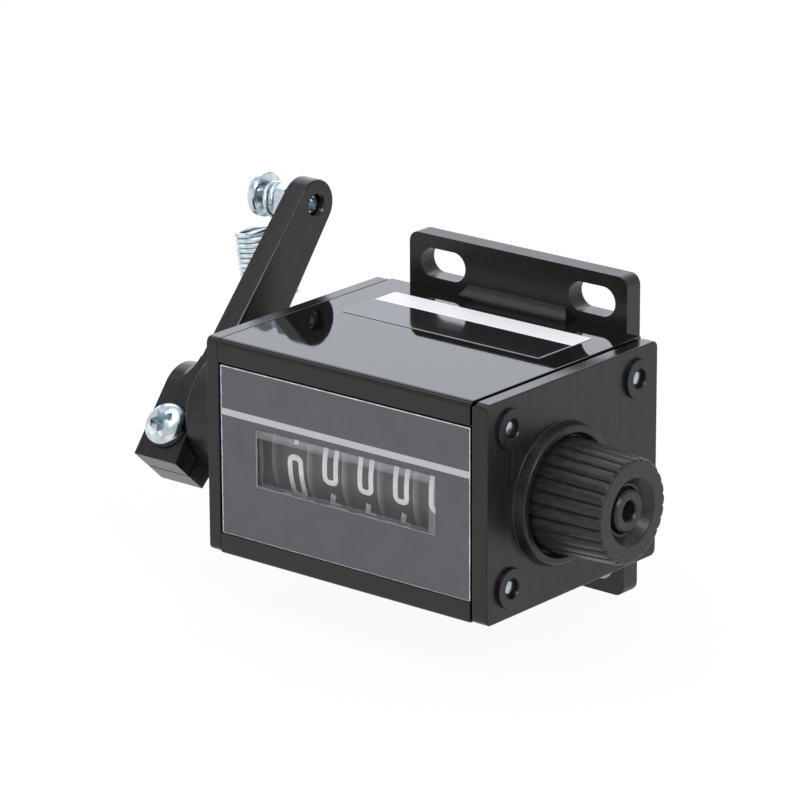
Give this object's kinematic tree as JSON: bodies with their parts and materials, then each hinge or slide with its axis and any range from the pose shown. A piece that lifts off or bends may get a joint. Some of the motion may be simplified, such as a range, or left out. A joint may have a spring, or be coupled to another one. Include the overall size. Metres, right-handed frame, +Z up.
{
  "type": "lever-operated mechanical counter",
  "caption": "Black mechanical digit counter with a clear window, a clamped stroke lever with a hooked spring, a fluted reset knob and a slotted rear mounting flange.",
  "frame": {"origin": "centre of the flange's rear face, where the counter bolts to its machine", "axes": "+X along the counting shaft from the lever to the reset knob, -Y towards the reader, +Z up as pictured; the digits read upright with the counter turned over about Y"},
  "size_m": [0.0726, 0.0339, 0.0429],
  "materials": {
    "gloss_black": "polished black moulding",
    "satin_black": "satin black moulding",
    "steel_rod": "drawn steel",
    "zinc_steel": "bright blue-white zinc plate",
    "spring_steel": "bright zinc-plated wire and strip",
    "grey_label": "satin grey print with a pale stripe",
    "clear_window": "clear, with a frosted margin",
    "sticker_film": "glossy black film with a white field",
    "wheel_grey": "dark grey moulding with white digits",
    "nylon": "natural nylon"
  },
  "bodies": {
    "housing": {"case": "gloss_black", "left_end_plate": "satin_black", "right_end_plate": "satin_black", "tie_rods": "steel_rod", "face_label": "grey_label", "window_lens": "clear_window", "top_sticker": "sticker_film", "pinion_shaft": "steel_rod", "holding_spring": "spring_steel", "return_spring": "spring_steel", "detent_spring": "spring_steel"},
    "lever": {"lever_arm": "satin_black", "clamp_screw": "zinc_steel", "clamp_nut": "zinc_steel", "linkage_screw": "zinc_steel", "linkage_nut": "zinc_steel", "drive_shaft": "steel_rod", "drive_plate": "satin_black", "pawl_pin": "steel_rod", "pawl_spring": "spring_steel"},
    "pawl": {"drive_pawl": "nylon"},
    "hanging_spring": {"extension_spring": "spring_steel"},
    "reset": {"reset_knob": "satin_black", "reset_shaft": "satin_black", "reset_cam": "nylon", "shaft_clip": "spring_steel"},
    "units": {"units_wheel": "wheel_grey", "units_ratchet": "nylon"},
    "tens": {"tens_wheel": "wheel_grey"},
    "hundreds": {"hundreds_wheel": "wheel_grey"},
    "thousands": {"thousands_wheel": "wheel_grey"},
    "ten_thousands": {"ten_thousands_wheel": "wheel_grey"},
    "pinion_1": {"transfer_pinion_1": "nylon"},
    "pinion_2": {"transfer_pinion_2": "nylon"},
    "pinion_3": {"transfer_pinion_3": "nylon"},
    "pinion_4": {"transfer_pinion_4": "nylon"}
  },
  "joints": [
    {"name": "lever_stroke", "type": "hinge", "parent": "housing", "child": "lever", "pos_m": [0, -0.0209, -0.0006], "axis": [1, 0, 0], "range_deg": [0, 45], "stiffness_Nm_per_rad": 0.02, "springref_deg": -45.84},
    {"name": "pawl_swing", "type": "hinge", "parent": "lever", "child": "pawl", "pos_m": [-0.0125, -0.01504, 0.0059], "axis": [1, 0, 0], "range_deg": [-6, 0], "stiffness_Nm_per_rad": 0.0001, "springref_deg": 17.19},
    {"name": "spring_swing", "type": "hinge", "parent": "lever", "child": "hanging_spring", "pos_m": [-0.03615, -0.00349, 0.0203], "axis": [1, 0, 0], "range_deg": [-60, 30]},
    {"name": "reset_turn", "type": "hinge", "parent": "housing", "child": "reset", "pos_m": [0, -0.0209, -0.0006], "axis": [1, 0, 0], "continuous": true},
    {"name": "units_turn", "type": "hinge", "parent": "housing", "child": "units", "pos_m": [0, -0.0209, -0.0006], "axis": [1, 0, 0], "continuous": true},
    {"name": "tens_turn", "type": "hinge", "parent": "housing", "child": "tens", "pos_m": [0, -0.0209, -0.0006], "axis": [1, 0, 0], "continuous": true},
    {"name": "hundreds_turn", "type": "hinge", "parent": "housing", "child": "hundreds", "pos_m": [0, -0.0209, -0.0006], "axis": [1, 0, 0], "continuous": true},
    {"name": "thousands_turn", "type": "hinge", "parent": "housing", "child": "thousands", "pos_m": [0, -0.0209, -0.0006], "axis": [1, 0, 0], "continuous": true},
    {"name": "ten_thousands_turn", "type": "hinge", "parent": "housing", "child": "ten_thousands", "pos_m": [0, -0.0209, -0.0006], "axis": [1, 0, 0], "continuous": true},
    {"name": "pinion_1_turn", "type": "hinge", "parent": "housing", "child": "pinion_1", "pos_m": [0, -0.0095, -0.0006], "axis": [1, 0, 0], "continuous": true},
    {"name": "pinion_2_turn", "type": "hinge", "parent": "housing", "child": "pinion_2", "pos_m": [0, -0.0095, -0.0006], "axis": [1, 0, 0], "continuous": true},
    {"name": "pinion_3_turn", "type": "hinge", "parent": "housing", "child": "pinion_3", "pos_m": [0, -0.0095, -0.0006], "axis": [1, 0, 0], "continuous": true},
    {"name": "pinion_4_turn", "type": "hinge", "parent": "housing", "child": "pinion_4", "pos_m": [0, -0.0095, -0.0006], "axis": [1, 0, 0], "continuous": true}
  ],
  "couplings": [
    {"joint": "tens_turn", "follows": "units_turn", "ratio": 0.1},
    {"joint": "hundreds_turn", "follows": "units_turn", "ratio": 0.01},
    {"joint": "thousands_turn", "follows": "units_turn", "ratio": 0.001},
    {"joint": "ten_thousands_turn", "follows": "units_turn", "ratio": 0.0001},
    {"joint": "pinion_1_turn", "follows": "units_turn", "ratio": -0.25},
    {"joint": "pinion_2_turn", "follows": "units_turn", "ratio": -0.025},
    {"joint": "pinion_3_turn", "follows": "units_turn", "ratio": -0.0025},
    {"joint": "pinion_4_turn", "follows": "units_turn", "ratio": -0.00025}
  ]
}
